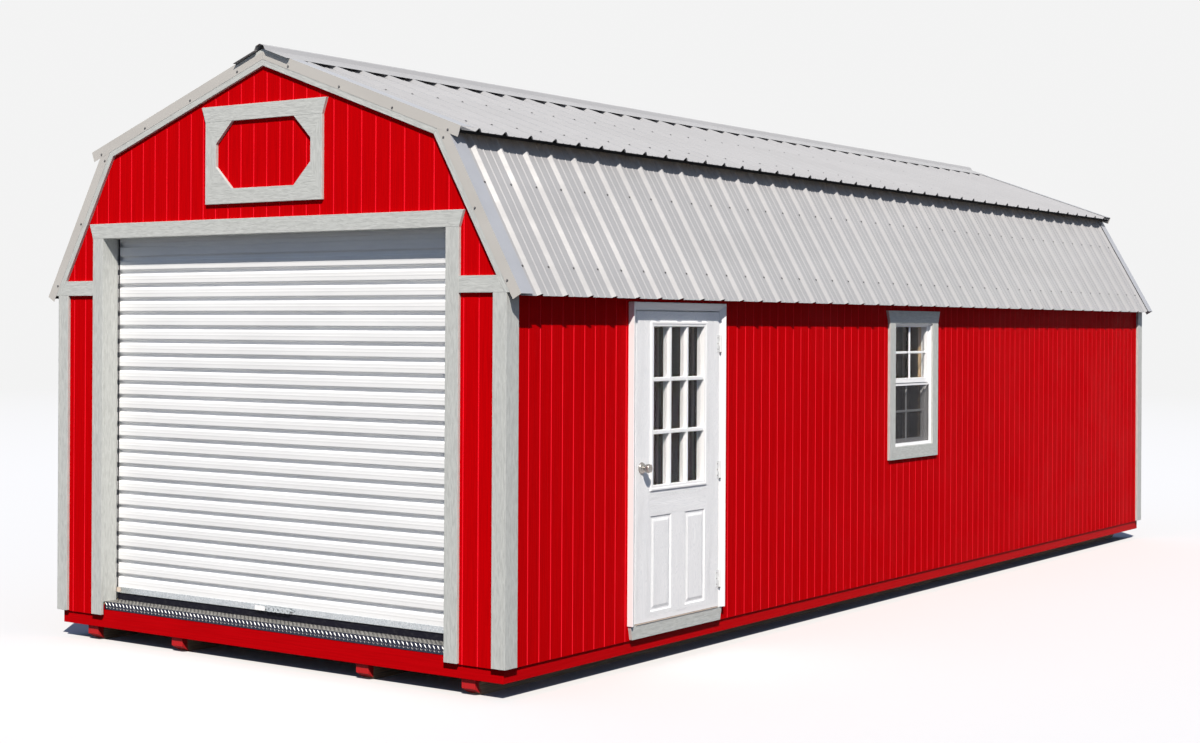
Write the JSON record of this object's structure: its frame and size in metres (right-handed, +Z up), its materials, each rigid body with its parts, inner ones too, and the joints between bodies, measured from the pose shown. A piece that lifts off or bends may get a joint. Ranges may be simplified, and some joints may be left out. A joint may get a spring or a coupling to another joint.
{
  "type": "portable gambrel barn",
  "caption": "Hollow timber barn on skids with a ribbed gambrel roof, a roll-up doorway in one gable, a half-glazed entry door and a hung window in one side.",
  "frame": {"origin": "middle of the building's plan, at the level its skids rest on", "axes": "+X to the right across the front gable, +Y from the front gable to the back, +Z up"},
  "size_m": [3.657, 9.741, 3.5059],
  "materials": {
    "red_siding": "painted red, low sheen",
    "red_frame": "painted red lumber",
    "grey_trim": "painted light grey, wood-grain face",
    "lumber": "bare planed softwood",
    "deck_board": "strand board",
    "roof_steel": "light grey painted steel sheet",
    "flashing_steel": "warm grey painted steel",
    "white_curtain": "white baked enamel",
    "galvanised": "galvanised",
    "tread_plate": "bright tread plate",
    "seal_rubber": "black",
    "door_white": "white embossed skin",
    "hinge_white": "white",
    "lever_nickel": "satin nickel",
    "sill_metal": "mill finish",
    "window_vinyl": "white vinyl",
    "clear_glass": "clear"
  },
  "bodies": {
    "barn": {"skids": "red_frame", "rim_joists": "red_frame", "floor_joists": "lumber", "floor_deck": "deck_board", "threshold_plate": "tread_plate", "left_siding": "red_siding", "right_siding_front": "red_siding", "right_siding_at_door": "red_siding", "right_siding_back": "red_siding", "front_siding": "red_siding", "front_gable_siding": "red_siding", "back_siding": "red_siding", "wall_plates": "lumber", "wall_studs": "lumber", "garage_header": "lumber", "rafters": "lumber", "ridge_board": "lumber", "roof_deck": "deck_board", "roof_upper_left": "roof_steel", "roof_upper_right": "roof_steel", "roof_lower_left": "roof_steel", "roof_lower_right": "roof_steel", "ridge_cap": "roof_steel", "rake_flashing": "flashing_steel", "rake_boards": "grey_trim", "corner_boards": "grey_trim", "band_boards": "grey_trim", "header_boards": "grey_trim", "garage_casings": "grey_trim", "garage_jambs": "grey_trim", "gable_frame": "grey_trim", "sill_board": "grey_trim", "window_casing": "grey_trim", "rollup_curtain": "white_curtain", "rollup_coil": "white_curtain", "rollup_guides": "galvanised", "rollup_brackets": "galvanised", "rollup_bottom_bar": "galvanised", "rollup_seal": "seal_rubber", "rollup_latch": "galvanised", "door_jambs": "door_white", "door_head": "door_white", "door_sill": "sill_metal", "jamb_hinges": "hinge_white", "window_frame": "window_vinyl", "window_sashes": "window_vinyl", "window_glass": "clear_glass"},
    "entry_door": {"door_leaf": "door_white", "lite_frame": "door_white", "door_glass": "clear_glass", "leaf_hinges": "hinge_white", "door_rosettes": "lever_nickel"},
    "lever": {"door_lever": "lever_nickel"}
  },
  "joints": [
    {"name": "door_hinge", "type": "hinge", "parent": "barn", "child": "entry_door", "pos_m": [1.74155, -2.73325, 1.1], "axis": [0, 0, 1], "range_deg": [0, 165]},
    {"name": "lever_turn", "type": "hinge", "parent": "entry_door", "child": "lever", "pos_m": [1.71155, -3.57908, 1.12776], "axis": [-1, 0, 0], "range_deg": [0, 40], "stiffness_Nm_per_rad": 0.6, "springref_deg": -28.65}
  ]
}
